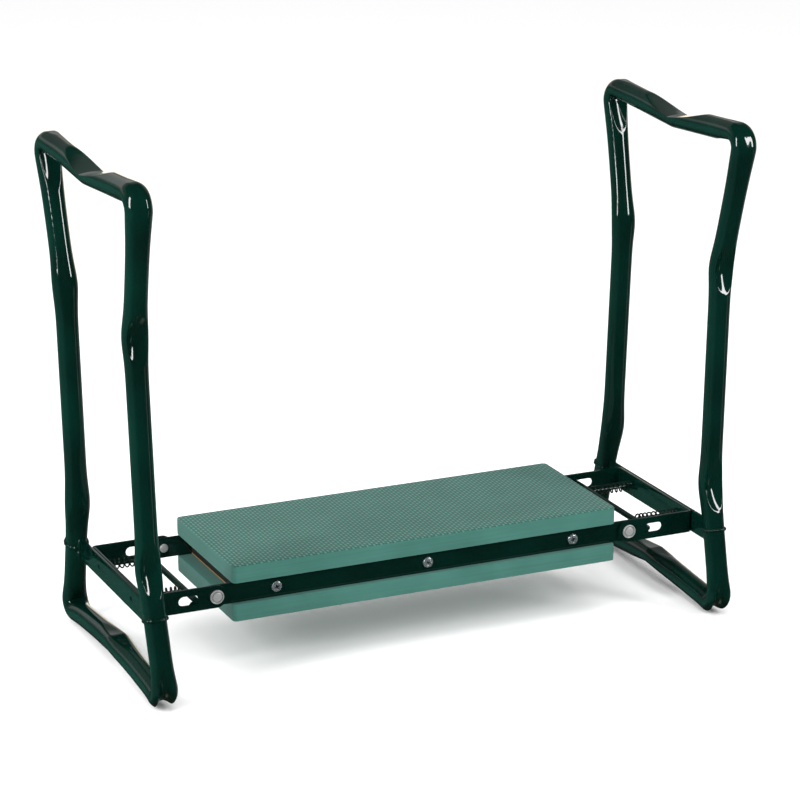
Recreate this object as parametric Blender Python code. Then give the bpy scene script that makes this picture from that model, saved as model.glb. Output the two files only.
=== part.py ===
"""Folding garden kneeler seat, standing in its kneeling position.

Two leaning tube loops carry a low foam seat between them. Each loop is a handle tube and a foot
tube, welded to a cross bar; a U bracket on the cross bar reaches in to two pivot rivets on the
seat rails, and a sprung lock rod across the bracket arms drops behind the hooked rail ends.

Frame: metres, +Z up, +X along the seat, origin on the floor under the middle of the seat.
"""

import math

import bmesh
import bpy
from mathutils import Matrix, Vector

MM = 0.001
GAP = 0.3 * MM  # left between pieces that touch or are welded on the real object

# tube loops
TUBE_R = 10.5 * MM
TUBE_WALL = 1.0 * MM
TUBE_SIDES = 12
LOOP_X = 289.2 * MM  # loop plane at pivot height
LEAN = math.radians(1.5)  # each loop leans out at its top
TOP_CORNER = (130.0 * MM, 480.0 * MM)
TOP_MIDDLE_Z = 464.5 * MM
UPPER_BEND = (97.5 * MM, 347.0 * MM)
LOWER_BEND = (100.0 * MM, 128.0 * MM)
FOOT_CORNER_Y = 132.0 * MM
FOOT_RISE = 11.0 * MM  # the middle of the foot bar is bent up
CORNER_BEND_R = 13.0 * MM
LEG_BEND_R = 70.0 * MM
BAR_BEND_R = 40.0 * MM
SEAM_Z = 84.0 * MM  # handle tube and foot tube meet here

# pivots and flat bars
PIVOT_X = 215.5 * MM
PIVOT_Z = 81.0 * MM
BAR_T = 2.5 * MM
BAR_H = 22.0 * MM
RAIL_H = 20.0 * MM
RAIL_Y = 71.0 * MM  # outer faces of the rails
SIDE_CLEARANCE = 0.7 * MM  # between a rail and a bracket arm
STRAP_BEND_R = 4.0 * MM

# rivets and screws
RIVET_HEAD_R = 6.5 * MM
RIVET_HEAD_H = 3.0 * MM
RIVET_SHANK_R = 3.0 * MM
RIVET_TAIL_R = 4.3 * MM
RIVET_TAIL_H = 2.0 * MM
SCREW_X = (-155.0 * MM, 0.0, 155.0 * MM)
SCREW_HEAD_R = 5.2 * MM
SCREW_HEAD_H = 2.8 * MM
SCREW_SHANK_R = 2.0 * MM
SCREW_LENGTH = 14.0 * MM
HOLE_PLAY = 0.3 * MM

# lock
ROD_X = 236.5 * MM
ROD_R = 3.0 * MM
SLOT_START_X = 233.0 * MM
SLOT_END_X = 253.0 * MM
SLOT_H = 9.5 * MM
PIN_Y = 46.0 * MM
PIN_R = 1.6 * MM
PIN_HOLE_R = 2.1 * MM
COIL_R = 3.9 * MM
WIRE_R = 0.6 * MM
COIL_PITCH = 5.4 * MM
HOOK_TIP_X = 241.0 * MM

# seat
PAD_LENGTH = 400.0 * MM
PAD_WIDTH = 152.0 * MM
PAD_T = 17.0 * MM
PAD_CORNER_R = 4.5 * MM
END_PLATE_X = 187.0 * MM
END_PLATE_T = 2.0 * MM
BOARD_T = 19.4 * MM

# worked out from the dimensions above
ARM_IN_Y = RAIL_Y + SIDE_CLEARANCE
ARM_OUT_Y = ARM_IN_Y + BAR_T
CROSS_BAR_IN_X = LOOP_X - BAR_T
STRAP_OUT_X = CROSS_BAR_IN_X - GAP
STRAP_IN_X = STRAP_OUT_X - BAR_T
BOTTOM_Z = PIVOT_Z - BAR_H / 2
TOP_Z = PIVOT_Z + BAR_H / 2
RAIL_BOTTOM_Z = PIVOT_Z - RAIL_H / 2
RAIL_TOP_Z = PIVOT_Z + RAIL_H / 2

COLOURS = {
    "green_paint": ((0.006, 0.045, 0.030, 1.0), 0.25, 0.0),
    "foam": ((0.11, 0.33, 0.26, 1.0), 0.85, 0.0),
    "bright_steel": ((0.55, 0.56, 0.57, 1.0), 0.30, 1.0),
    "aluminium": ((0.60, 0.61, 0.62, 1.0), 0.35, 1.0),
    "spring_steel": ((0.30, 0.31, 0.32, 1.0), 0.35, 1.0),
    "wood": ((0.45, 0.30, 0.17, 1.0), 0.70, 0.0),
}


def clear_scene():
    for obj in list(bpy.data.objects):
        bpy.data.objects.remove(obj, do_unlink=True)


def material(name, slot):
    colour, roughness, metallic = COLOURS[slot]
    mat = bpy.data.materials.new(name)
    mat.use_nodes = True
    shader = mat.node_tree.nodes["Principled BSDF"]
    shader.inputs["Base Color"].default_value = colour
    shader.inputs["Roughness"].default_value = roughness
    shader.inputs["Metallic"].default_value = metallic
    mat.diffuse_color = colour
    return mat


def axis_empty(name, world, parent=None):
    """An empty on a joint's axis; the pieces of that moving body hang on it."""
    empty = bpy.data.objects.new(name, None)
    empty.empty_display_size = 0.02
    bpy.context.scene.collection.objects.link(empty)
    origin = Vector(world)
    if parent is not None:
        empty.parent = parent
        origin = origin - Vector(parent["axis_point"])
    empty.location = origin
    empty["axis_point"] = list(world)
    return empty


def finish(name, bm, slot, body=None, smooth=None):
    """Turn a bmesh in world coordinates into a named object hung on its body's empty."""
    bmesh.ops.remove_doubles(bm, verts=bm.verts, dist=0.00001)
    bmesh.ops.recalc_face_normals(bm, faces=bm.faces)
    mesh = bpy.data.meshes.new(name)
    bm.to_mesh(mesh)
    bm.free()
    if body is not None:
        mesh.transform(Matrix.Translation(-Vector(body["axis_point"])))
    if smooth is not None:
        mesh.shade_smooth()
        mesh.set_sharp_from_angle(angle=math.radians(smooth))
    if slot is not None:
        mesh.materials.append(material(name, slot))
    obj = bpy.data.objects.new(name, mesh)
    bpy.context.scene.collection.objects.link(obj)
    if body is not None:
        obj.parent = body
    return obj


def cut(obj, cutters):
    """Take each cutter out of a piece with a live Boolean modifier."""
    for cutter in cutters:
        cutter.hide_render = True
        cutter.display_type = "WIRE"
        modifier = obj.modifiers.new(cutter.name, "BOOLEAN")
        modifier.operation = "DIFFERENCE"
        modifier.solver = "EXACT"
        modifier.object = cutter


def circle(centre, radius, sides):
    step = 2 * math.pi / sides
    return [
        (centre[0] + radius * math.cos(i * step), centre[1] + radius * math.sin(i * step))
        for i in range(sides)
    ]


def arc(centre, radius, start, end, steps):
    """Points on an arc, angles in degrees, both ends included."""
    angles = [math.radians(start + (end - start) * i / steps) for i in range(steps + 1)]
    return [(centre[0] + radius * math.cos(a), centre[1] + radius * math.sin(a)) for a in angles]


def filleted(points, radii, steps):
    """Round the inner corners of an open line: an arc of the given radius at each one."""
    result = [Vector(points[0])]
    for i in range(1, len(points) - 1):
        corner = Vector(points[i])
        back = (Vector(points[i - 1]) - corner).normalized()
        ahead = (Vector(points[i + 1]) - corner).normalized()
        half = back.angle(ahead) / 2
        centre = corner + (back + ahead).normalized() * radii[i - 1] / math.sin(half)
        first = corner + back * radii[i - 1] / math.tan(half) - centre
        turn = back.angle_signed(ahead)
        sweep = (math.pi - 2 * half) * (1 if turn > 0 else -1)
        for k in range(steps[i - 1] + 1):
            spin = Matrix.Rotation(sweep * k / steps[i - 1], 2)
            result.append(centre + spin @ first)
    result.append(Vector(points[-1]))
    return result


def plate(outline, holes, place, thickness):
    """A flat piece: an outline with holes in two directions, given a thickness in the third.

    place(u, v, w) gives the world point; w runs from 0 to the thickness.
    """
    bm = bmesh.new()
    for loop in [outline] + holes:
        verts = [bm.verts.new(place(u, v, 0.0)) for u, v in loop]
        for i, vert in enumerate(verts):
            bm.edges.new((vert, verts[(i + 1) % len(verts)]))
    bmesh.ops.triangle_fill(bm, use_beauty=True, use_dissolve=False, edges=bm.edges[:])
    shift = Vector(place(0, 0, thickness)) - Vector(place(0, 0, 0))
    extruded = bmesh.ops.extrude_face_region(bm, geom=bm.faces[:], use_keep_orig=True)
    moved = [item for item in extruded["geom"] if isinstance(item, bmesh.types.BMVert)]
    bmesh.ops.translate(bm, verts=moved, vec=shift)
    return bm


def turned(profile, start, direction, sides):
    """A turned piece: (distance along the axis, radius) pairs, with flat ends at both."""
    axis = Vector(direction).normalized()
    side = axis.orthogonal().normalized()
    other = axis.cross(side)
    bm = bmesh.new()
    rings = []
    for along, radius in profile:
        centre = Vector(start) + axis * along
        rings.append([
            bm.verts.new(centre + side * (radius * math.cos(a)) + other * (radius * math.sin(a)))
            for a in (2 * math.pi * i / sides for i in range(sides))
        ])
    for low, high in zip(rings, rings[1:]):
        for i in range(sides):
            j = (i + 1) % sides
            bm.faces.new((low[i], low[j], high[j], high[i]))
    bm.faces.new(rings[0])
    bm.faces.new(rings[-1])
    return bm


def leg_point(z):
    """Half width of the loop at a height on the straight leg below the lower bend."""
    corner = (FOOT_CORNER_Y, foot_corner_z())
    share = (z - corner[1]) / (LOWER_BEND[1] - corner[1])
    return corner[0] + (LOWER_BEND[0] - corner[0]) * share


def foot_corner_z():
    """Height of the sharp foot corner whose rounded bend just touches the floor."""
    height = TUBE_R
    for _ in range(4):
        corner = Vector((FOOT_CORNER_Y, height))
        up = (Vector(LOWER_BEND) - corner).normalized()
        across = (Vector((0.0, height + FOOT_RISE)) - corner).normalized()
        half = up.angle(across) / 2
        lift = (up + across).normalized().y * CORNER_BEND_R / math.sin(half)
        height = TUBE_R + CORNER_BEND_R - lift
    return height


def loop_place(side):
    """World point of (y, z) in the leaning plane of a loop."""

    def place(y, z, out=0.0):
        rise = z - PIVOT_Z
        x = LOOP_X + rise * math.sin(LEAN) + out * math.cos(LEAN)
        return Vector((side * x, y, PIVOT_Z + rise * math.cos(LEAN) - out * math.sin(LEAN)))

    return place


def hollow_tube(path, side):
    """An open-ended round tube along a line in the loop's plane."""
    place = loop_place(side)
    bm = bmesh.new()
    outer_rings = []
    inner_rings = []
    for i, point in enumerate(path):
        behind = path[max(i - 1, 0)]
        ahead = path[min(i + 1, len(path) - 1)]
        tangent = (ahead - behind).normalized()
        normal = Vector((-tangent.y, tangent.x))
        for rings, radius in ((outer_rings, TUBE_R), (inner_rings, TUBE_R - TUBE_WALL)):
            ring = []
            for k in range(TUBE_SIDES):
                angle = 2 * math.pi * k / TUBE_SIDES
                spot = point + normal * (radius * math.cos(angle))
                ring.append(bm.verts.new(place(spot.x, spot.y, radius * math.sin(angle))))
            rings.append(ring)
    for rings in (outer_rings, inner_rings):
        for low, high in zip(rings, rings[1:]):
            for k in range(TUBE_SIDES):
                j = (k + 1) % TUBE_SIDES
                bm.faces.new((low[k], low[j], high[j], high[k]))
    for end in (0, -1):
        for k in range(TUBE_SIDES):
            j = (k + 1) % TUBE_SIDES
            bm.faces.new((outer_rings[end][k], outer_rings[end][j],
                          inner_rings[end][j], inner_rings[end][k]))
    return bm


def mirrored(half):
    """A loop line's front half, continued to the back: the middle point is its last."""
    return [(-y, z) for y, z in half] + [(y, z) for y, z in reversed(half[:-1])]


def tube_loop(label, side, body):
    seam_up = SEAM_Z + GAP / 2
    handle = mirrored([(leg_point(seam_up), seam_up), LOWER_BEND, UPPER_BEND, TOP_CORNER,
                       (0.0, TOP_MIDDLE_Z)])
    handle_radii = [LEG_BEND_R, LEG_BEND_R, CORNER_BEND_R, BAR_BEND_R,
                    CORNER_BEND_R, LEG_BEND_R, LEG_BEND_R]
    path = filleted(handle, handle_radii, [2, 2, 5, 2, 5, 2, 2])
    finish(label + "_handle_tube", hollow_tube(path, side), "green_paint", body, 40)

    seam_down = SEAM_Z - GAP / 2
    corner_z = foot_corner_z()
    foot = mirrored([(leg_point(seam_down), seam_down), (FOOT_CORNER_Y, corner_z),
                     (0.0, corner_z + FOOT_RISE)])
    path = filleted(foot, [CORNER_BEND_R, BAR_BEND_R, CORNER_BEND_R], [6, 2, 6])
    finish(label + "_foot_tube", hollow_tube(path, side), "green_paint", body, 40)


def cross_bar(label, side, body):
    """Flat bar between the legs, its ends cut to their slope, with two guide pin holes."""
    slope = math.hypot(LOWER_BEND[0] - FOOT_CORNER_Y, LOWER_BEND[1] - foot_corner_z())
    reach = TUBE_R * slope / (LOWER_BEND[1] - foot_corner_z()) + GAP
    top = leg_point(TOP_Z) - reach
    bottom = leg_point(BOTTOM_Z) - reach
    outline = [(-bottom, BOTTOM_Z), (bottom, BOTTOM_Z), (top, TOP_Z), (-top, TOP_Z)]
    holes = [circle((y, PIVOT_Z), PIN_HOLE_R, 12) for y in (-PIN_Y, PIN_Y)]

    def place(y, z, depth):
        return Vector((side * (CROSS_BAR_IN_X + depth), y, z))

    finish(label + "_cross_bar", plate(outline, holes, place, BAR_T), "green_paint", body, 30)


def bracket(label, side, body):
    """U strap: its base lies on the cross bar, its arms run in to the pivot rivets."""
    end_x = PIVOT_X - BAR_H / 2
    inner_r = STRAP_BEND_R - BAR_T
    bend = (STRAP_OUT_X - STRAP_BEND_R, ARM_OUT_Y - STRAP_BEND_R)
    outer = arc(bend, STRAP_BEND_R, 90, 0, 4)
    inner = arc(bend, inner_r, 0, 90, 4)
    half = [(end_x, ARM_OUT_Y)] + outer
    back = inner + [(end_x, ARM_IN_Y)]
    outline = half + [(x, -y) for x, y in reversed(half)]
    outline += [(x, -y) for x, y in reversed(back)] + back

    def lay(x, y, height):
        return Vector((side * x, y, BOTTOM_Z + height))

    obj = finish(label + "_bracket", plate(outline, [], lay, BAR_H), "green_paint", body, 30)

    def across(x, z, depth):
        return Vector((side * x, depth - 1.2 * ARM_OUT_Y, z))

    width = 2.4 * ARM_OUT_Y
    margin = 3 * MM
    end_cut = [(end_x - margin, BOTTOM_Z - margin), (PIVOT_X, BOTTOM_Z - margin)]
    end_cut += arc((PIVOT_X, PIVOT_Z), BAR_H / 2, 270, 90, 12)
    end_cut += [(PIVOT_X, TOP_Z + margin), (end_x - margin, TOP_Z + margin)]
    rivet_hole = circle((PIVOT_X, PIVOT_Z), RIVET_SHANK_R + HOLE_PLAY, 12)
    slot_r = SLOT_H / 2
    slot = arc((SLOT_START_X + slot_r, PIVOT_Z), slot_r, 90, 270, 6)
    slot += arc((SLOT_END_X - slot_r, PIVOT_Z), slot_r, -90, 90, 6)
    cutters = [
        finish(label + "_bracket_end_cut", plate(end_cut, [], across, width), None, body),
        finish(label + "_bracket_rivet_cut", plate(rivet_hole, [], across, width), None, body),
        finish(label + "_bracket_slot_cut", plate(slot, [], across, width), None, body),
    ]
    for end, y in (("front", -PIN_Y), ("back", PIN_Y)):
        start = (side * (STRAP_IN_X - margin), y, PIVOT_Z)
        hole = turned([(0, PIN_HOLE_R), (BAR_T + 2 * margin, PIN_HOLE_R)], start, (side, 0, 0), 12)
        cutters.append(finish(f"{label}_bracket_{end}_pin_cut", hole, None, body))
    cut(obj, cutters)


def lock(label, side, body, lock_body):
    """Lock rod across the arms, its two guide pins, and the springs that push it in."""
    reach = ARM_OUT_Y + 0.5 * MM
    chamfer = 0.6 * MM
    profile = [(0, ROD_R - chamfer), (chamfer, ROD_R), (2 * reach - chamfer, ROD_R),
               (2 * reach, ROD_R - chamfer)]
    rod = turned(profile, (side * ROD_X, -reach, PIVOT_Z), (0, 1, 0), 12)
    finish(label + "_lock_rod", rod, "green_paint", lock_body, 40)
    pin_start = ROD_X + ROD_R + GAP
    pin_length = CROSS_BAR_IN_X + 1.0 * MM - pin_start
    spring_start = pin_start + WIRE_R
    spring_length = STRAP_IN_X - GAP - WIRE_R - spring_start
    for end, y in (("front", -PIN_Y), ("back", PIN_Y)):
        start = (side * pin_start, y, PIVOT_Z)
        pin = turned([(0, PIN_R), (pin_length, PIN_R)], start, (side, 0, 0), 10)
        finish(f"{label}_guide_pin_{end}", pin, "green_paint", lock_body, 40)
        coil = spring(side * spring_start, y, side * spring_length)
        finish(f"{label}_spring_{end}", coil, "spring_steel", body, 40)


def spring(start_x, y, length):
    """Open coil along X: a wire of five sides on a helix, its end turns closed up."""
    turns = abs(length) / COIL_PITCH + 1
    steps = round(turns * 9)
    sides = 5
    bm = bmesh.new()
    rings = []
    for i in range(steps + 1):
        share = i / steps
        along = share - math.sin(2 * math.pi * share) / (2 * math.pi) * 0.16
        angle = 2 * math.pi * turns * share
        out = Vector((0, math.cos(angle), math.sin(angle)))
        run = Vector((length / (2 * math.pi * turns * COIL_R), -out.z, out.y)).normalized()
        over = run.cross(out)
        centre = Vector((start_x + length * along, y, PIVOT_Z)) + out * COIL_R
        rings.append([
            bm.verts.new(centre + out * (WIRE_R * math.cos(a)) + over * (WIRE_R * math.sin(a)))
            for a in (2 * math.pi * k / sides for k in range(sides))
        ])
    for low, high in zip(rings, rings[1:]):
        for k in range(sides):
            j = (k + 1) % sides
            bm.faces.new((low[k], low[j], high[j], high[k]))
    bm.faces.new(rings[0])
    bm.faces.new(rings[-1])
    return bm


def rail_outline():
    """Side view of a rail: rounded ends past the pivots, each with a hook under the lock rod."""
    end_r = RAIL_H / 2
    end_centre = PIVOT_X + 5.0 * MM
    hook_top = PIVOT_Z - ROD_R - 0.4 * MM
    hook_bottom = RAIL_BOTTOM_Z + 1.5 * MM
    fall = math.degrees(math.asin((PIVOT_Z - hook_top) / end_r))
    right = [(end_centre - end_r, RAIL_BOTTOM_Z), (end_centre + end_r / 2, RAIL_BOTTOM_Z),
             (HOOK_TIP_X - 1.5 * MM, hook_bottom), (HOOK_TIP_X, hook_bottom + 2.0 * MM),
             (HOOK_TIP_X - 2.0 * MM, hook_top)]
    right += arc((end_centre, PIVOT_Z), end_r, -fall, 90, 7)
    return right + [(-x, z) for x, z in reversed(right)]


def rail(name, side):
    """side -1 is the front rail, +1 the back rail."""
    holes = [circle((x, PIVOT_Z), RIVET_SHANK_R + HOLE_PLAY, 12) for x in (-PIVOT_X, PIVOT_X)]
    holes += [circle((x, PIVOT_Z), SCREW_SHANK_R + HOLE_PLAY, 10) for x in SCREW_X]

    def place(x, z, depth):
        return Vector((x, side * (RAIL_Y - BAR_T + depth), z))

    finish(name, plate(rail_outline(), holes, place, BAR_T), "green_paint", None, 30)


def rivet(name, x, side):
    """Button head outside the arm, shank through arm and rail, small tail inside."""
    shank = BAR_T * 2 + SIDE_CLEARANCE + 2 * GAP
    start = (x, side * (RAIL_Y - BAR_T - GAP - RIVET_TAIL_H), PIVOT_Z)
    head = RIVET_TAIL_H + shank
    profile = [(0, RIVET_TAIL_R * 0.75), (RIVET_TAIL_H / 2, RIVET_TAIL_R), (RIVET_TAIL_H, RIVET_TAIL_R),
               (RIVET_TAIL_H, RIVET_SHANK_R), (head, RIVET_SHANK_R), (head, RIVET_HEAD_R),
               (head + RIVET_HEAD_H * 0.35, RIVET_HEAD_R), (head + RIVET_HEAD_H * 0.8, RIVET_HEAD_R * 0.8),
               (head + RIVET_HEAD_H, RIVET_HEAD_R * 0.45)]
    finish(name, turned(profile, start, (0, side, 0), 16), "aluminium", None, 40)


def screw(name, x, side):
    """Pan head on the rail's outer face, shank into the seat board."""
    start = (x, side * (RAIL_Y + GAP + SCREW_HEAD_H), PIVOT_Z)
    profile = [(0, SCREW_HEAD_R * 0.6), (SCREW_HEAD_H * 0.4, SCREW_HEAD_R * 0.92),
               (SCREW_HEAD_H, SCREW_HEAD_R), (SCREW_HEAD_H, SCREW_SHANK_R),
               (SCREW_HEAD_H + SCREW_LENGTH - 2 * MM, SCREW_SHANK_R),
               (SCREW_HEAD_H + SCREW_LENGTH, 0.3 * SCREW_SHANK_R)]
    finish(name, turned(profile, start, (0, -side, 0), 12), "bright_steel", None, 40)


def seat_board():
    """Board between the rails; the screws run into its long edges."""
    half_x = END_PLATE_X - END_PLATE_T - GAP
    half_y = RAIL_Y - BAR_T - GAP
    outline = [(-half_x, -half_y), (half_x, -half_y), (half_x, half_y), (-half_x, half_y)]

    def lay(x, y, height):
        return Vector((x, y, PIVOT_Z - BOARD_T / 2 + height))

    board = finish("seat_board", plate(outline, [], lay, BOARD_T), "wood")
    cutters = []
    depth = SCREW_LENGTH + 1 * MM
    for word, side in (("front", -1), ("back", 1)):
        for i, x in enumerate(SCREW_X):
            hole_r = SCREW_SHANK_R + HOLE_PLAY
            start = (x, side * (RAIL_Y + 1 * MM), PIVOT_Z)
            hole = turned([(0, hole_r), (depth + 1 * MM, hole_r)], start, (0, -side, 0), 10)
            cutters.append(finish(f"board_{word}_cut_{i + 1}", hole, None))
    cut(board, cutters)


def end_plate(name, side):
    """Flat plate that closes the end of the seat frame, between the rails."""
    half = RAIL_Y - BAR_T - GAP
    low = RAIL_BOTTOM_Z + GAP
    high = RAIL_TOP_Z - GAP
    outline = [(-half, low), (half, low), (half, high), (-half, high)]

    def place(y, z, depth):
        return Vector((side * (END_PLATE_X - END_PLATE_T + depth), y, z))

    finish(name, plate(outline, [], place, END_PLATE_T), "green_paint")


def pad(name, base_z):
    """Foam slab with rounded corners."""
    centre = (PAD_LENGTH / 2 - PAD_CORNER_R, PAD_WIDTH / 2 - PAD_CORNER_R)
    outline = []
    for k, (sx, sy) in enumerate(((1, 1), (-1, 1), (-1, -1), (1, -1))):
        outline += arc((sx * centre[0], sy * centre[1]), PAD_CORNER_R, 90 * k, 90 * k + 90, 5)

    def lay(x, y, height):
        return Vector((x, y, base_z + height))

    finish(name, plate(outline, [], lay, PAD_T), "foam", None, 40)


def build():
    clear_scene()
    for label, side in (("left", -1), ("right", 1)):
        frame = axis_empty(label + "_fold_axis", (side * PIVOT_X, 0.0, PIVOT_Z))
        lock_frame = axis_empty(label + "_lock_axis", (side * ROD_X, 0.0, PIVOT_Z), frame)
        tube_loop(label, side, frame)
        cross_bar(label, side, frame)
        bracket(label, side, frame)
        lock(label, side, frame, lock_frame)
    for word, side in (("front", -1), ("back", 1)):
        rail(word + "_rail", side)
        for label, x in (("left", -PIVOT_X), ("right", PIVOT_X)):
            rivet(f"{label}_rivet_{word}", x, side)
        for i, x in enumerate(SCREW_X):
            screw(f"{word}_screw_{i + 1}", x, side)
    end_plate("left_end_plate", -1)
    end_plate("right_end_plate", 1)
    seat_board()
    pad("top_pad", RAIL_TOP_Z + GAP)
    pad("bottom_pad", RAIL_BOTTOM_Z - GAP - PAD_T)


build()
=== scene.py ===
# %% [markdown]
# # A folding garden kneeler seat
# Two loops of steel tube carry a low foam seat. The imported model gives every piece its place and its
# joints, so this lesson only makes the pieces look like what they are. All sizes are in metres, and the
# few that matter are written in millimetres and multiplied by MM.

# %% Load the frame
import math

import bmesh
import bpy
import numpy as np
from mathutils import Matrix, Vector


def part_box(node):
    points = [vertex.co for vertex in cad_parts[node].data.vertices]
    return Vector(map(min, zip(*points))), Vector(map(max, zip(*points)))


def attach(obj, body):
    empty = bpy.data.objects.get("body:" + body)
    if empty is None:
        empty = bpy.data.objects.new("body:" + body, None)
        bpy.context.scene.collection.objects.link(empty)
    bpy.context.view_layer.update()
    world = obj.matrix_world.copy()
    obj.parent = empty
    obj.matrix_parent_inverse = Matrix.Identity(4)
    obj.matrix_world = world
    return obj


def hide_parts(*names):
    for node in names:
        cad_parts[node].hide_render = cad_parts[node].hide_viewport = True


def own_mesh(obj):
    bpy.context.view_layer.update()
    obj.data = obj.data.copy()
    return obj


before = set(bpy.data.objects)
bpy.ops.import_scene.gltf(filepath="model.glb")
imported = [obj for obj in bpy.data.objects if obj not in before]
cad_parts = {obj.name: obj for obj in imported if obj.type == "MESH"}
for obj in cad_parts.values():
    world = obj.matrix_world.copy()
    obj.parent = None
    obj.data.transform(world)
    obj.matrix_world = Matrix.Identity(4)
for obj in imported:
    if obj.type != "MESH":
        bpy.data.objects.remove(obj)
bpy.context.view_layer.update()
MM = 0.001
SIDES = (("left", -1), ("right", 1))
ENDS = (("front", -1), ("back", 1))

# %% [markdown]
# ## From points to a skin
# Most pieces here are a ring of points carried along a line: a tube, a rivet, a spring, a pad. Each is
# worked out as one array of points, ring by ring, and only then made a mesh, so the shape stays a plain
# formula that can be read and changed. Both ends are closed with a fan of triangles.

# %% One helper that turns rings of points into a closed mesh
def skin(name, rings, smooth=40.0):
    """Faces between neighbours: ring i, place j goes to ring i+1, place j+1. A fan closes each end."""
    count, sides = rings.shape[:2]
    i = np.arange(count - 1)[:, None]
    j = np.arange(sides)[None, :]
    ahead, beside = i + 1, (j + 1) % sides
    corners = (i * sides + j, i * sides + beside, ahead * sides + beside, ahead * sides + j)
    faces = np.stack(np.broadcast_arrays(*corners), -1).reshape(-1, 4).tolist()
    points = rings.reshape(-1, 3)
    middles = np.stack([rings[0].mean(0), rings[-1].mean(0)])
    first, last = len(points), len(points) + 1
    points = np.vstack([points, middles])
    k, nxt = np.arange(sides), (np.arange(sides) + 1) % sides
    faces += np.stack([nxt, k, np.full(sides, first)], -1).tolist()
    top = (count - 1) * sides
    faces += np.stack([top + k, top + nxt, np.full(sides, last)], -1).tolist()
    mesh = bpy.data.meshes.new(name)
    mesh.from_pydata(points, [], faces)
    bm = bmesh.new()
    bm.from_mesh(mesh)
    if bm.calc_volume(signed=True) < 0:
        bmesh.ops.reverse_faces(bm, faces=bm.faces)
    bm.to_mesh(mesh)
    bm.free()
    mesh.shade_smooth()
    mesh.set_sharp_from_angle(angle=math.radians(smooth))
    obj = bpy.data.objects.new(name, mesh)
    bpy.context.scene.collection.objects.link(obj)
    return obj


def settle(obj, body, slot, mat, *nodes):
    """Give a piece its body and its material, and hide the nodes it stands for; the slot is not used."""
    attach(obj, body)
    obj.data.materials.clear()
    obj.data.materials.append(mat)
    if nodes:
        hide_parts(*nodes)
    return obj


def mark(obj, name, values):
    """A number on every point, in the order the rings were made; the two cap middles get 0."""
    values = np.append(np.ravel(values), [0.0, 0.0])[:len(obj.data.vertices)].astype(np.float32)
    obj.data.attributes.new(name, "FLOAT", "POINT").data.foreach_set("value", values)


def turned(name, profile, start, axis, sides=48, smooth=35.0):
    """A piece turned on a lathe: (distance, radius) pairs spun about an axis through start."""
    along, radius = np.array(profile, float).T[:, :, None]
    axis = np.array(Vector(axis).normalized())
    across = np.array(Vector(axis).orthogonal().normalized())
    other = np.cross(axis, across)
    angle = np.linspace(0, 2 * np.pi, sides, endpoint=False)[None, :, None]
    ring = np.cos(angle) * across + np.sin(angle) * other
    return skin(name, np.array(start) + along[:, :, None] * axis + radius[:, :, None] * ring, smooth)


print("helpers: skin, settle, mark, turned")

# %% [markdown]
# ## Colours and nodes
# Paint charts give colours as sRGB hex, but the shader works in linear light, so one function turns
# them. Another adds a node, sets its inputs and links it, which keeps each material short to read.

# %% Colour and node helpers
def linear(code):
    """sRGB hex to linear light: below 0.04045 divide by 12.92, above it the 2.4 power curve."""
    value = np.array([int(code[i:i + 2], 16) for i in (1, 3, 5)]) / 255
    light = np.where(value <= 0.04045, value / 12.92, ((value + 0.055) / 1.055) ** 2.4)
    return (*light.tolist(), 1.0)


def new_material(name, **sockets):
    """A material whose constants sit on the Principled shader's own sockets."""
    mat = bpy.data.materials.new(name)
    mat.use_nodes = True
    shader = mat.node_tree.nodes["Principled BSDF"]
    for socket, value in sockets.items():
        shader.inputs[socket.replace("_", " ")].default_value = value
    return mat, mat.node_tree, shader


def add(tree, kind, settings=None, **links):
    """One node: settings are its properties, links are input names with a value or another socket."""
    node = tree.nodes.new("ShaderNode" + kind)
    for key, value in (settings or {}).items():
        setattr(node, key, value)
    for key, value in links.items():
        number = key[2:] if key.startswith("in") else ""
        socket = node.inputs[int(number)] if number.isdigit() else node.inputs[key.replace("_", " ")]
        if isinstance(value, bpy.types.NodeSocket):
            tree.links.new(value, socket)
        else:
            socket.default_value = value
    return node


def ramp(tree, factor, stops):
    """A colour ramp from (position, colour) pairs."""
    node = add(tree, "ValToRGB", Fac=factor)
    while len(node.color_ramp.elements) < len(stops):
        node.color_ramp.elements.new(0.5)
    for element, (position, colour) in zip(node.color_ramp.elements, stops):
        element.position, element.color = position, colour
    return node.outputs["Color"]


def grey(value):
    """The same amount of red, green and blue, in linear light."""
    return (value, value, value, 1.0)


print("mid grey #808080 in linear light:", round(linear("#808080")[0], 3))

# %% [markdown]
# ## Bottle-green stoving enamel
# The whole frame is dipped or sprayed in one thick coat of dark green enamel and baked. The coat is glossy
# and nearly black where nothing bright is reflected. It is not quite level, and a bump with cells of 7 mm
# gives the long highlights their wobble. It could be a plain colour with a coat on top, but a clouded
# colour and a roughness that varies a little keep large surfaces from looking like plastic.

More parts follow.
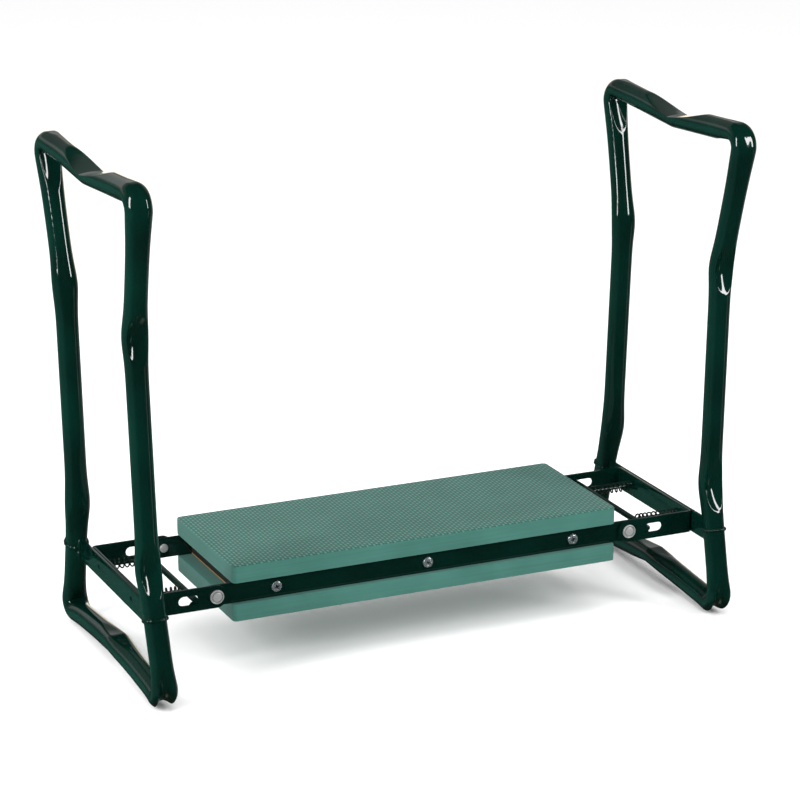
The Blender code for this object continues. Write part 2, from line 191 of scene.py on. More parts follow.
# %% Enamel
def enamel(name, light, dark):
    """Baked gloss paint: one IOR, two near shades in 60 mm clouds, roughness 0.05 to 0.10 in 9 mm spots."""
    mat, tree, shader = new_material(name, Roughness=0.15, IOR=1.5)
    place = add(tree, "TexCoord").outputs["Object"]
    cloud = add(tree, "TexNoise", Vector=place, Scale=1 / (60 * MM), Detail=3.0).outputs["Fac"]
    tint = ramp(tree, cloud, [(0.35, linear(dark)), (0.65, linear(light))])
    tree.links.new(tint, shader.inputs["Base Color"])
    dust = add(tree, "TexNoise", Vector=place, Scale=1 / (9 * MM), Detail=5.0).outputs["Fac"]
    worn = add(tree, "MapRange", Value=dust, From_Min=0.3, From_Max=0.7, To_Min=0.05, To_Max=0.10)
    tree.links.new(worn.outputs["Result"], shader.inputs["Roughness"])
    peel = add(tree, "TexNoise", Vector=place, Scale=1 / (7 * MM), Detail=1.0).outputs["Fac"]
    bump = add(tree, "Bump", Strength=0.25, Distance=0.25 * MM, Height=peel)
    tree.links.new(bump.outputs["Normal"], shader.inputs["Normal"])
    return mat


PAINT = enamel("bottle_green_stoving_enamel", "#021F18", "#021611")
BAR_PAINT = enamel("bottle_green_enamel_on_flat_bar", "#021C16", "#021611")
print("enamels:", PAINT.name, BAR_PAINT.name)

# %% [markdown]
# ## The line of the bent tubes
# Each loop is two lengths of steel tube, the handle above and the foot below, that meet at the cross bar.
# A curve object with a round bevel would sweep them too, but it could not be dented afterwards. So the
# centreline comes first, as straight runs joined by arcs. Sizes here are in millimetres.

# %% The centreline of a loop
TUBE_R = 10.5
PIVOT_Z = 81.0
LOOP_X = 289.2
LEAN = math.radians(1.5)
SEAM_Z = 84.0
TOP = (130.0, 480.0)
TOP_MIDDLE = 472.0
UPPER = (97.5, 347.0)
LOWER = (100.0, 128.0)
FOOT = (132.0, 9.4)
FOOT_MIDDLE = 20.0


def rounded(corners, radii, step=1.25):
    """Straight runs joined by arcs that touch both, then points a fixed step apart along the whole."""
    corners = np.array(corners, float)
    pieces = [corners[:1]]
    for corner, before, after, radius in zip(corners[1:-1], corners[:-2], corners[2:], radii):
        back = (before - corner) / np.linalg.norm(before - corner)
        on = (after - corner) / np.linalg.norm(after - corner)
        half = math.acos(np.clip(back @ on, -1, 1)) / 2
        middle = corner + (back + on) / np.linalg.norm(back + on) * radius / math.sin(half)
        first = corner + back * radius / math.tan(half) - middle
        turn = np.sign(on[0] * back[1] - on[1] * back[0])
        angle = np.linspace(0, turn * (math.pi - 2 * half), 24)[:, None]
        side = np.array([-first[1], first[0]])
        pieces.append(middle + np.cos(angle) * first + np.sin(angle) * side)
    line = np.vstack(pieces + [corners[-1:]])
    length = np.r_[0, np.cumsum(np.linalg.norm(np.diff(line, axis=0), axis=1))]
    even = np.linspace(0, length[-1], round(length[-1] / step) + 1)
    return np.stack([np.interp(even, length, line[:, k]) for k in (0, 1)], -1), even


def leg_y(z):
    """Half the loop's width on the straight run between the foot corner and the lower bend."""
    return FOOT[0] + (LOWER[0] - FOOT[0]) * (z - FOOT[1]) / (LOWER[1] - FOOT[1])


def both(half):
    """The front half of a line and its mirror image, the middle point once."""
    return [(-y, z) for y, z in half] + [(y, z) for y, z in half[-2::-1]]


handle_line = rounded(both([(leg_y(SEAM_Z + 0.15), SEAM_Z + 0.15), LOWER, UPPER, TOP, (0, TOP_MIDDLE)]),
                      [70, 70, 12.5, 9, 12.5, 70, 70])
foot_line = rounded(both([(leg_y(SEAM_Z - 0.15), SEAM_Z - 0.15), FOOT, (0, FOOT_MIDDLE)])[::-1],
                    [12.5, 14, 12.5])
print("tube lengths in mm:", handle_line[1][-1].round(), foot_line[1][-1].round())

# %% [markdown]
# ## Crush bends
# This is cheap crush-bent tube. A tool is pressed into the wall where the tube should bend, so the wall
# caves in and leaves a dished hollow with a crease across its middle. A circle is swept along the line,
# then each press lowers the points that stand above its floor. Sculpting could do this as well, but a
# formula keeps both loops alike and both ends of each loop mirrored.

# %% Pressing the bends
def smooth_min(a, b, ease):
    """The lesser of two, with the corner between them rounded over a width of ease."""
    near = np.maximum(ease - np.abs(a - b), 0)
    return np.minimum(a, b) - near * near / (4 * ease)


def pressed_tube(line, length, presses, sides=96):
    """A circle swept along the line, then pressed: on the pressed side no point stands higher than a floor
    r - depth * tent(s) * (1 - hollow * (b / r)^2), where s runs along the tube and b across it; tent is a
    third ridge and two thirds parabola, so each press is two scoops that meet in a crease. The flattened
    stretch also grows sideways, by the factor 1 + widen * exp(-(1.3 s)^2), with s in reaches."""
    run = np.gradient(line, axis=0)
    run /= np.linalg.norm(run, axis=1)[:, None]
    out = np.stack([-run[:, 1], run[:, 0]], -1)
    angle = np.linspace(0, 2 * np.pi, sides, endpoint=False)[None, :]
    n = TUBE_R * np.cos(angle) + 0 * length[:, None]
    b = TUBE_R * np.sin(angle) + 0 * length[:, None]
    for where, side, reach, depth, hollow, widen, edge, point in presses:
        start = length[np.argmin(np.linalg.norm(line - np.array(where), axis=1))]
        u = ((length - start) / reach)[:, None]
        ridge = 1 - (u * u + point * point) ** 0.5 + point
        tent = np.clip(0.35 * ridge + 0.65 * (1 - u * u), 0, 1)
        swell = np.exp(-(u * 1.3) ** 2)
        floor = TUBE_R + edge - (depth + edge) * tent * (1 - hollow * (b / TUBE_R) ** 2)
        n = side * smooth_min(side * n, floor, edge)
        b = b * (1 + widen * swell)
    points = line[:, None, :] + n[..., None] * out[:, None, :]
    return points, b


def in_loop(side, points, b):
    """World place of (y, z) in the plane of a loop that leans out, b being the distance out of it."""
    rise = points[..., 1] - PIVOT_Z
    x = LOOP_X + rise * math.sin(LEAN) + b * math.cos(LEAN)
    z = PIVOT_Z + rise * math.cos(LEAN) - b * math.sin(LEAN)
    return np.stack([side * x, points[..., 0], z], -1) * MM


def mirrored(presses):
    """The presses of the front half of a loop, and the same again at the back."""
    return presses + [((-w[0], w[1]), *rest) for w, *rest in presses if w[0]]


# where, side (1 out, -1 in), reach, depth, hollow, widen, edge, point
handle_presses = mirrored([
    (LOWER, 1, 28, 8.5, 0.75, 0.17, 0.5, 0.12),
    (UPPER, 1, 27, 8.5, 0.75, 0.17, 0.5, 0.12),
    (TOP, -1, 46, 8.0, 0.65, 0.20, 0.6, 0.12),
    (TOP, 1, 26, 0.8, 1.0, 0.0, 0.8, 0.45),
    ((0, TOP_MIDDLE), 1, 62, 8.5, -0.12, 0.16, 0.8, 0.03),
])
foot_presses = mirrored([
    (FOOT, -1, 24, 2.5, 0.60, 0.14, 0.7, 0.15),
    (FOOT, 1, 24, 8.5, 1.15, 0.06, 0.6, 0.20),
    ((0, FOOT_MIDDLE), -1, 40, 2.0, 0.2, 0.05, 1.0, 0.2),
    ((0, FOOT_MIDDLE), 1, 46, 6.0, 0.15, 0.12, 0.8, 0.05),
])
handle_shape = pressed_tube(*handle_line, handle_presses)
foot_shape = pressed_tube(*foot_line, foot_presses)
for label, side in SIDES:
    for part, shape in (("handle_tube", handle_shape), ("foot_tube", foot_shape)):
        tube = skin(f"{label}_{part}_pressed", in_loop(side, *shape), 50)
        settle(tube, label + "_frame", "green_paint", PAINT, f"{label}_{part}")
print("handle tube faces:", len(tube.data.polygons))

# %% [markdown]
# ## Flat bars
# Rails, brackets and cross bars are strips of steel, punched and bent. Their outlines are right in the
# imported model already; what they lack is the small rounded edge that catches the light. Each gets a
# merged copy with flat faces joined up, and a Bevel modifier of about half a millimetre. Making them
# afresh would only repeat the same outlines.

# %% Bevelled copies of the punched strips
def eased(node, width, segments=3):
    """A copy of a node with its doubles merged, its flat faces joined, and its sharp edges rounded."""
    bm = bmesh.new()
    bm.from_mesh(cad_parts[node].data)
    bmesh.ops.remove_doubles(bm, verts=bm.verts, dist=0.00001)
    bmesh.ops.dissolve_limit(bm, angle_limit=math.radians(1), verts=bm.verts, edges=bm.edges)
    mesh = bpy.data.meshes.new(node + "_eased")
    bm.to_mesh(mesh)
    bm.free()
    mesh.shade_smooth()
    obj = bpy.data.objects.new(node + "_eased", mesh)
    bpy.context.scene.collection.objects.link(obj)
    bevel = obj.modifiers.new("edge", "BEVEL")
    bevel.width, bevel.segments, bevel.limit_method = width, segments, "ANGLE"
    bevel.angle_limit = math.radians(40)
    bevel.harden_normals = True
    return obj


for label, side in SIDES:
    for part, width in (("cross_bar", 0.5 * MM), ("bracket", 0.45 * MM)):
        settle(eased(f"{label}_{part}", width), label + "_frame", "green_paint", BAR_PAINT, f"{label}_{part}")
for word, side in ENDS:
    settle(eased(word + "_rail", 0.45 * MM), "seat", "green_paint", BAR_PAINT, word + "_rail")
print("bevelled strips: 6")

# %% [markdown]
# ## Welds
# Each leg is welded where handle and foot tube meet, and again to the end of the cross bar, all under the
# paint. A weld is a row of overlapping puddles, so its radius rises and falls along its length. A torus
# or a plain cylinder would look machined; one bead function makes both runs.

# %% Weld beads
def bead(name, path, radius, ripple=1.6 * MM, sides=14, seed=0):
    """A round bead along a line: radius * (0.75 + 0.3 |sin| + 0.08 sin), the first sine for the puddles,
    the second, of another length, to make them uneven; it tapers to a quarter at both ends."""
    path = np.array(path, float)
    length = np.r_[0, np.cumsum(np.linalg.norm(np.diff(path, axis=0), axis=1))]
    s = np.linspace(0, length[-1], max(24, round(length[-1] / (0.25 * MM))))
    line = np.stack([np.interp(s, length, path[:, k]) for k in range(3)], -1)
    run = np.gradient(line, axis=0)
    run /= np.linalg.norm(run, axis=1)[:, None]
    across = np.cross(run, (0.3, 0.5, 0.81))
    across /= np.linalg.norm(across, axis=1)[:, None]
    other = np.cross(run, across)
    share = s / length[-1]
    swell = 0.75 + 0.3 * np.abs(np.sin(np.pi * s / ripple + seed)) + 0.08 * np.sin(s / (2.3 * MM) + seed)
    ends = np.clip(np.sqrt(np.clip(1 - (2 * share - 1) ** 8, 0, 1)), 0.25, 1)
    size = (radius * swell * ends)[:, None, None]
    angle = np.linspace(0, 2 * np.pi, sides, endpoint=False)[None, :, None]
    rings = line[:, None] + size * (np.cos(angle) * across[:, None] + np.sin(angle) * other[:, None])
    return skin(name, rings, 60)


for label, side in SIDES:
    for word, end in ENDS:
        z = np.array([71.0, 76.0, 81.0, 86.0, 91.0])
        y = end * (leg_y(z) - TUBE_R * 1.01)
        x = side * np.full(5, LOOP_X + 0.3)
        upright = np.stack([x, y, z], -1) * MM
        weld = bead(f"{label}_bar_weld_{word}", upright, 2.4 * MM, 3.4 * MM, seed=side + end)
        settle(weld, label + "_frame", "green_paint", PAINT)
        turn = np.linspace(0, 2 * np.pi, 49)
        tilt = (leg_y(SEAM_Z + 1) - leg_y(SEAM_Z - 1)) / 2
        ring_n, ring_b = TUBE_R * np.cos(turn), TUBE_R * np.sin(turn)
        plane = np.stack([end * (leg_y(SEAM_Z) + ring_n), SEAM_Z - tilt * ring_n], -1)
        around_leg = in_loop(side, plane, ring_b)
        seam = bead(f"{label}_seam_weld_{word}", around_leg, 1.9 * MM, 4.3 * MM, seed=2 * side + end)
        settle(seam, label + "_frame", "green_paint", PAINT)
print("welds: 8")

# %% [markdown]
# ## Aluminium and zinc
# The rivets are aluminium, tumbled dull, and the screws are steel with a bright zinc plate. Both would be
# Metallic 1 in a pale room. Here the gloss mirrors a dark one and would turn them black, so part of their
# brightness comes from the base colour instead: aluminium is set to 0.5 and zinc to 0.85. The ring groove
# and the cross lie in shade, so an attribute on the points darkens the metal there: painted shade.

# %% Metals
def bare_metal(name, colour, rough, streak_mm, bare):
    """Metal with clouds of streak_mm, more polished where it is lighter. The grain of the real surface is
    too fine to show, so the bump is drawn coarser, at 0.5 mm."""
    mat, tree, shader = new_material(name, Metallic=bare, Roughness=rough)
    place = add(tree, "TexCoord").outputs["Object"]
    cloud = add(tree, "TexNoise", Vector=place, Scale=1 / (streak_mm * MM), Detail=4.0).outputs["Fac"]
    light, dark = linear(colour), [0.72 * c for c in linear(colour)[:3]] + [1.0]
    # painted shade: where the recess attribute is high, the base colour turns dark, for the shade in grooves
    recess = add(tree, "Attribute", {"attribute_name": "recess"}).outputs["Fac"]
    painted_recess_shade = add(tree, "MixRGB", Fac=recess, Color1=ramp(tree, cloud, [(0.3, dark), (0.7, light)]),
                Color2=linear("#17201D"))
    tree.links.new(painted_recess_shade.outputs[0], shader.inputs["Base Color"])
    rub = add(tree, "MapRange", Value=cloud, To_Min=rough + 0.12, To_Max=rough - 0.06)
    tree.links.new(rub.outputs["Result"], shader.inputs["Roughness"])
    fine = add(tree, "TexNoise", Vector=place, Scale=1 / (0.5 * MM), Detail=2.0).outputs["Fac"]
    bump = add(tree, "Bump", Strength=0.25, Distance=0.05 * MM, Height=fine)
    tree.links.new(bump.outputs["Normal"], shader.inputs["Normal"])
    return mat


ALUMINIUM = bare_metal("tumbled_aluminium", "#B4B7B6", 0.40, 1.5, 0.5)
ZINC = bare_metal("bright_zinc_plate", "#C4D0D2", 0.22, 1.2, 0.85)
print("metals:", ALUMINIUM.name, ZINC.name)

# %% [markdown]
# ## Rivets
# Each loop turns on two rivets. A rivet is a round head, a shank and a tail spread on the far side, with
# a shallow ring that the setting tool leaves in the head. All of it is round, so it is one profile spun
# about an axis, as on a lathe.

# %% Rivets
RAIL_Y, ARM_OUT_Y, RIVET_X = 71.0, 74.2, 215.5


def rivet(name, x, end):
    """Tail, shank and button head, with a ring groove in the head: all one lathe profile."""
    tail = RAIL_Y - 2.5 - 0.3 - 2.0
    face = ARM_OUT_Y + 0.3
    profile = [(0, 0.01), (0.05, 3.0), (0.5, 4.0), (1.2, 4.3), (1.9, 4.3), (2.0, 4.2), (2.0, 3.0)]
    head = face - tail
    r = np.array([3.0, 6.4, 6.7, 6.8, 6.65, 6.3, 5.8, 5.4, 5.1, 4.8, 4.5, 4.2, 3.4, 2.2, 1.0, 0.05])
    h = np.array([0.0, 0.0, 0.2, 0.8, 1.5, 1.85, 1.85, 1.6, 1.1, 1.05, 1.3, 1.75, 1.95, 2.02, 2.05, 2.06])
    profile += list(zip(head + h, r))
    start = np.array((x, end * tail, PIVOT_Z)) * MM
    obj = turned(name, np.array(profile) * MM, start, (0, end, 0), 56, 50)
    radius = np.array(profile)[:, 1]
    # painted shade: the recess attribute darkens the ring groove in the head
    mark(obj, "recess", np.repeat(0.55 * np.exp(-((radius - 5.0) / 0.45) ** 2), 56))
    return obj


for label, side in SIDES:
    for word, end in ENDS:
        node = f"{label}_rivet_{word}"
        settle(rivet(node + "_turned", side * RIVET_X, end), "seat", "aluminium", ALUMINIUM, node)
print("rivets: 4")

# %% [markdown]
# ## Screws
# Pan-head screws hold the board between the rails. The cross recess is not round, so a lathe can't cut it.
# A Boolean could, but the head is small and a height over rings and angles gives a cleaner mesh.

# %% Pan-head screws with a cross recess
def screw(name, x, end, turn):
    """Height over the head is a dome less a cross: two crossed slots whose depth fades to their ends."""
    radius = np.r_[np.linspace(0.02, 5.0, 46), 5.2, 5.25][:, None]
    angle = np.linspace(0, 2 * np.pi, 96, endpoint=False)[None, :]
    dome = 2.7 - 0.9 * (radius / 5.2) ** 2 - 0.9 * np.clip((radius - 4.2) / 1.05, 0, 1) ** 3
    u = radius * np.cos(angle - turn)
    v = radius * np.sin(angle - turn)

    def groove(along, across):
        wide = np.clip((0.85 - np.abs(across)) / 0.3, 0, 1)
        deep = np.clip((3.1 - np.abs(along)) / 2.2, 0, 1)
        return wide * deep

    cross = np.maximum(groove(u, v), groove(v, u))
    top = dome - 2.1 * cross
    x_, z_ = radius * np.cos(angle), radius * np.sin(angle)
    head = np.stack([x_, top, z_], -1)
    down = np.array([[5.2, 0.3], [5.1, 0.0], [2.1, 0.0], [2.0, -11.0], [0.3, -14.0]])
    spin = np.stack([np.cos(angle[0]), np.zeros(96), np.sin(angle[0])], -1)
    rest = down[:, None, :1] * spin + down[:, None, 1:] * np.array([0, 1, 0])
    rings = np.concatenate([head, rest])
    place = np.array([x, RAIL_Y + 0.3, PIVOT_Z])
    rings = rings + place
    rings[..., 1] *= end
    obj = skin(name, rings * MM, 35)
    # painted shade: the recess attribute darkens the cross recess in the head
    mark(obj, "recess", np.append(0.95 * cross, np.zeros(down.shape[0] * 96)))
    return obj


for word, end in ENDS:
    for i, x in enumerate((-155.0, 0.0, 155.0)):
        node = f"{word}_screw_{i + 1}"
        settle(screw(node + "_cross", x, end, 0.4 + 0.7 * i), "seat", "bright_steel", ZINC, node)
print("screws: 6")

# %% [markdown]
# ## Lock rods and guide pins
# A round rod lies across the arms of each bracket, in two slots. Two thin pins run from it through the
# cross bar and keep it straight. Both are plain bar with eased ends, so both are turned.

# %% Lock rods and guide pins
ROD_X, ROD_R, PIN_Y, PIN_R = 236.5, 3.0, 46.0, 1.6
for label, side in SIDES:
    reach = ARM_OUT_Y + 0.5
    profile = [(0, 0.05), (0, 2.0), (0.25, 2.6), (0.7, 3.0), (2 * reach - 0.7, 3.0), (2 * reach - 0.25, 2.6),
               (2 * reach, 2.0), (2 * reach, 0.05)]
    rod = turned(label + "_lock_rod_turned", np.array(profile) * MM,
                 np.array((side * ROD_X, -reach, PIVOT_Z)) * MM, (0, 1, 0))
    settle(rod, label + "_lock", "green_paint", PAINT, label + "_lock_rod")
    for word, end in ENDS:
        node = f"{label}_guide_pin_{word}"
        length = LOOP_X - 2.5 + 1.0 - (ROD_X + ROD_R + 0.3)
        profile = [(0, 0.05), (0, PIN_R), (length - 0.6, PIN_R), (length - 0.15, PIN_R * 0.7), (length, 0.05)]
        start = np.array((side * (ROD_X + ROD_R + 0.3), end * PIN_Y, PIVOT_Z)) * MM
        pin = turned(node + "_turned", np.array(profile) * MM, start, (side, 0, 0), 24)
        settle(pin, label + "_lock", "green_paint", BAR_PAINT, node)
print("rods: 2, pins: 4")

# %% [markdown]
# ## Springs
# Each guide pin carries a coil spring that pushes the lock rod into the rail hooks. A Screw modifier would
# give an even helix, but a real spring has its end turns closed up, so the distance along it is eased.
# Wire and coil are a little larger than in the imported model, because at its sizes the springs looked too
# light.

# %% Coil springs
def spring(name, side, y, phase):
    """x runs from rod to bracket, eased by t - 0.16 sin(2 pi t) / 2 pi so that the end turns close up;
    y and z go round 2 pi for each turn."""
    start, end = ROD_X + ROD_R + 0.9, LOOP_X - 2.5 - 0.3 - 2.5 - 0.9
    turns, wire, coil = 9.5, 0.80, 4.5
    t = np.linspace(0, 1, 380)
    eased_t = t - 0.16 * np.sin(2 * np.pi * t) / (2 * np.pi)
    angle = 2 * np.pi * turns * t + phase
    line = np.stack([side * (start + (end - start) * eased_t), y + coil * np.cos(angle),
                     PIVOT_Z + coil * np.sin(angle)], -1)
    run = np.gradient(line, axis=0)
    run /= np.linalg.norm(run, axis=1)[:, None]
    outward = np.stack([np.zeros_like(t), np.cos(angle), np.sin(angle)], -1)
    other = np.cross(run, outward)
    around = np.linspace(0, 2 * np.pi, 10, endpoint=False)[None, :, None]
    rings = line[:, None] + wire * (np.cos(around) * outward[:, None] + np.sin(around) * other[:, None])
    return skin(name, rings * MM, 60)


SPRING_PAINT = enamel("painted_spring_wire", "#0B201A", "#050B09")
for label, side in SIDES:
    for word, end in ENDS:
        node = f"{label}_spring_{word}"
        coil = settle(spring(node + "_coil", side, end * PIN_Y, 0.6 * end), label + "_frame", "spring_steel",
                      SPRING_PAINT, node)
        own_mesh(coil)
print("springs: 4")

# %% [markdown]
# ## Foam pads
# The pads are cut from sheets of EVA foam, 17 mm thick. The outer face is embossed with a fine check while
# it is warm; the sides are sawn, which leaves thin lines along them. Cutting it into the mesh would take a
# great many triangles for very little depth, so it is a bump, with painted shade in the hollows and a
# painted highlight on the crests.

# %% Foam material
CHECK_LENGTH, CHECK_WIDTH = 7.12, 6.84


def foam_material(name):
    """Matte foam. Its pores are a few tenths of a millimetre, too fine to show, and are drawn at 0.9 mm."""
    mat, tree, shader = new_material(name, Roughness=0.82, IOR=1.45, Sheen_Weight=0.12, Sheen_Roughness=0.5)
    place = add(tree, "TexCoord").outputs["Object"]
    axes = add(tree, "SeparateXYZ", Vector=place).outputs

    def wave(axis, pitch_mm):
        """Plus one to minus one and back over each pitch."""
        per_metre = 2 * math.pi / (pitch_mm * MM)
        angle = add(tree, "Math", {"operation": "MULTIPLY"}, in0=axes[axis], in1=per_metre)
        return add(tree, "Math", {"operation": "COSINE"}, in0=angle.outputs[0]).outputs[0]

    long_wave, cross_wave = wave("X", CHECK_LENGTH), wave("Y", CHECK_WIDTH)
    staggered = add(tree, "Math", {"operation": "MULTIPLY"}, in0=long_wave, in1=cross_wave).outputs[0]
    rib = wave("X", CHECK_LENGTH / 2)
    check = add(tree, "Math", {"operation": "MULTIPLY_ADD"}, in0=rib, in1=0.9, in2=staggered).outputs[0]
    check = add(tree, "MapRange", Value=check, From_Min=-1.4, From_Max=1.6).outputs["Result"]
    face = add(tree, "Attribute", {"attribute_name": "embossed"}).outputs["Fac"]
    saw = add(tree, "TexNoise", Vector=add(tree, "Mapping", Vector=place, Scale=(8, 8, 900)).outputs[0],
              Scale=1.0, Detail=2.0).outputs["Fac"]
    pores = add(tree, "TexNoise", Vector=place, Scale=1 / (0.9 * MM), Detail=3.0).outputs["Fac"]
    cloud = add(tree, "TexNoise", Vector=place, Scale=1 / (45 * MM), Detail=3.0).outputs["Fac"]
    body = ramp(tree, cloud, [(0.3, linear("#2A6056")), (0.7, linear("#32685E"))])
    sawn = add(tree, "MixRGB", {"blend_type": "MULTIPLY"}, Fac=0.35, Color1=body,
               Color2=ramp(tree, saw, [(0.35, grey(0.72)), (0.6, grey(1.0))]))
    # factors on the body colour, not colours: painted shade in the hollows, with less red, and a painted
    # highlight on the crests
    shading = [(0.0, (0.13, 0.24, 0.21, 1.0)), (0.5, (0.56, 0.74, 0.70, 1.0)), (1.0, grey(1.5))]
    check_with_painted_light = add(tree, "MixRGB", {"blend_type": "MULTIPLY"}, Fac=1.0, Color1=body,
               Color2=ramp(tree, check, shading))
    colour = add(tree, "MixRGB", Fac=face, Color1=sawn.outputs[0], Color2=check_with_painted_light.outputs[0])
    tree.links.new(colour.outputs[0], shader.inputs["Base Color"])
    relief = add(tree, "Math", {"operation": "MULTIPLY"}, in0=check, in1=face).outputs[0]
    emboss = add(tree, "Bump", Strength=0.8, Distance=0.5 * MM, Height=relief)
    grain = add(tree, "Math", {"operation": "ADD"}, in0=saw, in1=pores).outputs[0]
    skin_bump = add(tree, "Bump", Strength=0.35, Distance=0.12 * MM, Height=grain, Normal=emboss.outputs[0])
    tree.links.new(skin_bump.outputs["Normal"], shader.inputs["Normal"])
    return mat


FOAM = foam_material("embossed_eva_foam")
print("foam:", FOAM.name)

# %% [markdown]
# ## The two pads
# A pad is a slab with round corners. Foam is plump, so the sides belly out a little and the outer face
# crowns very slightly. A cube with a Bevel modifier would have the corners but not the belly, so the pad
# is an outline that changes size with its height, closed by rings that shrink to the middle.

# %% The two pads
def pad(name, low, high, outer):
    """A rounded rectangle whose size follows the height: it bellies out by 0.2 mm at half height and is
    rounded over the last 0.6 mm; the top crowns by 0.25 mm, the bottom is let in by 0.05 mm, and both
    shrink ring by ring to the middle."""
    half, corner = np.array([200.0, 76.0]), 4.7
    side_turn = np.linspace(0, np.pi / 2, 13)
    turns = [side_turn + k * np.pi / 2 for k in range(4)]
    arcs = [np.stack([np.cos(turn), np.sin(turn)], -1) for turn in turns]
    centres = (half - corner) * np.array([[1, 1], [-1, 1], [-1, -1], [1, -1]])
    outline, normal = [], []
    for k in range(4):
        outline.append(centres[k] + corner * arcs[k])
        normal.append(arcs[k])
        gap = centres[(k + 1) % 4] - centres[k]
        more = np.linspace(0, 1, 41)[1:-1, None] * gap + centres[k] + corner * arcs[k][-1]
        outline.append(more)
        normal.append(np.broadcast_to(arcs[k][-1], more.shape))
    outline, normal = np.vstack(outline), np.vstack(normal)
    height = high - low
    ease = 0.6
    turn = np.linspace(0, np.pi / 2, 6)
    rim_in = ease * (1 - np.sin(turn))
    rim_z = ease * (1 - np.cos(turn))
    t = np.linspace(0, 1, 13)[1:-1]
    belly = 0.2 * (1 - (2 * t - 1) ** 2)
    inward = np.r_[rim_in, -belly, rim_in[::-1]]
    z = np.r_[low + rim_z, low + ease + (height - 2 * ease) * t, high - rim_z[::-1]]
    walls = outline - inward[:, None, None] * normal - 0.2 * normal
    walls = np.concatenate([walls, np.broadcast_to(z[:, None, None], (*walls.shape[:2], 1))], -1)
    share = np.linspace(1, 0.02, 24)[1:, None]
    out_top = walls[-1, :, :2]

    def cap(ring, level, lift):
        scale = share[:, :, None] * half
        flat = ring[None] / np.abs(half) * scale
        edge = 1 - share
        bulge = lift * np.minimum(edge * 12, 1) ** 0.5
        heights = np.broadcast_to((level + bulge)[:, :, None], (*flat.shape[:2], 1))
        return np.concatenate([flat, heights], -1)

    top = cap(out_top, high, 0.25)
    bottom = cap(walls[0, :, :2], low, -0.05)[::-1]
    rings = np.concatenate([bottom, walls, top])
    obj = skin(name, rings * MM, 60)
    z_all = np.empty(len(obj.data.vertices) * 3)
    obj.data.vertices.foreach_get("co", z_all)
    z_all = z_all.reshape(-1, 3)[:, 2] / MM
    face = (z_all > high - 0.35) if outer > 0 else (z_all < low + 0.35)
    attribute = obj.data.attributes.new("embossed", "FLOAT", "POINT")
    attribute.data.foreach_set("value", face.astype(np.float32))
    return obj


for node, outer in (("top_pad", 1), ("bottom_pad", -1)):
    lo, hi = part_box(node)
    piece = pad(node + "_foam", lo[2] / MM + 0.05, hi[2] / MM - 0.25, outer)
    settle(piece, "seat", "foam", FOAM, node)
    print(node, "faces:", len(piece.data.polygons))

# %% [markdown]
# ## Board and end strips
# A plywood board fills the space between the pads and gives the screws something to bite. Its ends are
# covered by dark stained hardboard, with a thin tan band along the bottom. Both are nearly hidden, so
# bevelled copies of the imported pieces are enough.

# %% Plywood and end strips
def plywood():
    """Birch plywood, cut: warm plies across the thickness and grain stretched along the board."""
    mat, tree, shader = new_material("birch_plywood", Roughness=0.65)
    place = add(tree, "TexCoord").outputs["Object"]
    z = add(tree, "SeparateXYZ", Vector=place).outputs["Z"]
    ply = add(tree, "Math", {"operation": "MULTIPLY"}, in0=z, in1=math.pi / (2.4 * MM))
    wave = add(tree, "Math", {"operation": "SINE"}, in0=ply.outputs[0]).outputs[0]
    long_grain = add(tree, "Mapping", Vector=place, Scale=(12, 260, 260)).outputs[0]
    grain = add(tree, "TexNoise", Vector=long_grain, Scale=1.0, Detail=5.0).outputs["Fac"]
    mixed = add(tree, "Math", {"operation": "MULTIPLY_ADD"}, in0=wave, in1=0.18, in2=grain).outputs[0]
    wood = ramp(tree, mixed, [(0.2, linear("#7A5430")), (0.8, linear("#C79A63"))])
    tree.links.new(wood, shader.inputs["Base Color"])
    bump = add(tree, "Bump", Strength=0.4, Distance=0.1 * MM, Height=grain)
    tree.links.new(bump.outputs["Normal"], shader.inputs["Normal"])
    return mat


def end_strip():
    """Hardboard, stained nearly black, with a tan band along its lowest edge, below 72.2 mm height."""
    mat, tree, shader = new_material("stained_hardboard", Roughness=0.6)
    place = add(tree, "TexCoord").outputs["Object"]
    z = add(tree, "SeparateXYZ", Vector=place).outputs["Z"]
    fibre = add(tree, "TexNoise", Vector=place, Scale=1 / (1.5 * MM), Detail=4.0).outputs["Fac"]
    dark = ramp(tree, fibre, [(0.3, linear("#0C0A08")), (0.7, linear("#241A12"))])
    tan_band = add(tree, "MapRange", Value=z, From_Min=72.2 * MM, From_Max=72.6 * MM, To_Min=1.0, To_Max=0.0)
    both_colours = add(tree, "MixRGB", Fac=tan_band.outputs["Result"], Color1=dark, Color2=linear("#A9794A"))
    tree.links.new(both_colours.outputs[0], shader.inputs["Base Color"])
    bump = add(tree, "Bump", Strength=0.3, Distance=0.1 * MM, Height=fibre)
    tree.links.new(bump.outputs["Normal"], shader.inputs["Normal"])
    return mat


settle(eased("seat_board", 0.4 * MM), "seat", "wood", plywood(), "seat_board")
strip_finish = end_strip()
for label, side in SIDES:
    settle(eased(label + "_end_plate", 0.3 * MM), "seat", "green_paint", strip_finish, label + "_end_plate")
print("board and strips: 3")

# %% [markdown]
# ## Studio
# A pale floor and four soft lights. The key at the left and the big light overhead light the surfaces but
# are kept out of the gloss, as if hidden behind black flags. Two tall strips, left and right, are the
# ones that gloss mirrors, and they draw the thin bright lines down the upper legs. The floor is kept out
# of the gloss as well, because a white floor would wash out the dark paint.

